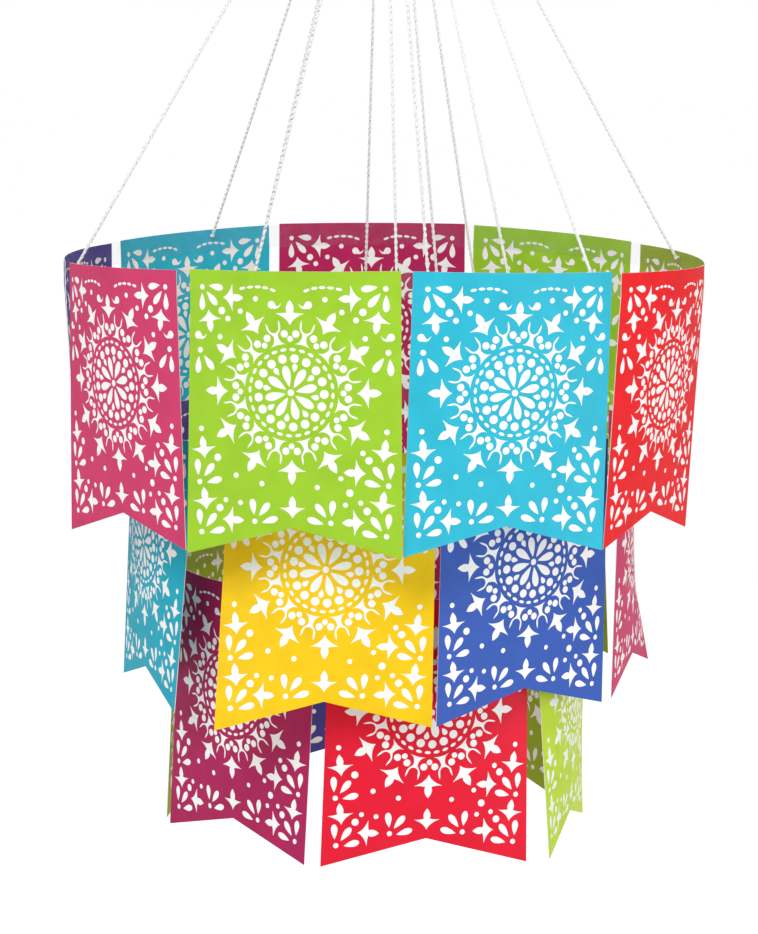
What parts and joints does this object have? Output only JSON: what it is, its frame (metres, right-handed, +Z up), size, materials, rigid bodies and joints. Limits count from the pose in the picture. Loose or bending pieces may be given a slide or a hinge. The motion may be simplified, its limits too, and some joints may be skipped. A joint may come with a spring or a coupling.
{
  "type": "paper flag chandelier",
  "caption": "Hanging paper chandelier: notched, printed card flags on clear plastic hoops in stepped tiers, held by white strings from one ring.",
  "frame": {"origin": "where the hook bears, at the top of the hanging ring's opening", "axes": "+Z up, -Y the front, +X to the right of someone who faces the front"},
  "size_m": [0.4006, 0.414, 0.7013],
  "materials": {
    "card_pink": "printed card, satin",
    "card_green": "printed card, satin",
    "card_teal": "printed card, satin",
    "card_red": "printed card, satin",
    "card_olive": "printed card, satin",
    "card_magenta": "printed card, satin",
    "card_indigo": "printed card, satin",
    "card_yellow": "printed card, satin",
    "card_blue": "printed card, satin",
    "clear_strip": "clear, slightly hazy",
    "white_string": "twisted cotton",
    "ring_steel": "polished"
  },
  "bodies": {
    "root": {"bottom_flag_1_magenta": "card_magenta", "bottom_flag_2_red": "card_red", "bottom_flag_3_green": "card_green", "bottom_flag_4_olive": "card_olive", "bottom_flag_5_indigo": "card_indigo", "bottom_flag_6_olive": "card_olive", "bottom_string_1": "white_string", "bottom_string_2": "white_string", "bottom_string_3": "white_string", "bottom_string_4": "white_string", "bottom_strip": "clear_strip", "hanging_ring": "ring_steel", "middle_flag_1_teal": "card_teal", "middle_flag_2_yellow": "card_yellow", "middle_flag_3_blue": "card_blue", "middle_flag_4_pink": "card_pink", "middle_flag_5_olive": "card_olive", "middle_flag_6_magenta": "card_magenta", "middle_flag_7_indigo": "card_indigo", "middle_string_1": "white_string", "middle_string_2": "white_string", "middle_string_3": "white_string", "middle_string_4": "white_string", "middle_strip": "clear_strip", "top_flag_1_pink": "card_pink", "top_flag_2_green": "card_green", "top_flag_3_teal": "card_teal", "top_flag_4_red": "card_red", "top_flag_5_olive": "card_olive", "top_flag_6_green": "card_green", "top_flag_7_magenta": "card_magenta", "top_flag_8_teal": "card_teal", "top_flag_9_indigo": "card_indigo", "top_string_1": "white_string", "top_string_2": "white_string", "top_string_3": "white_string", "top_string_4": "white_string", "top_strip": "clear_strip"}
  },
  "joints": []
}
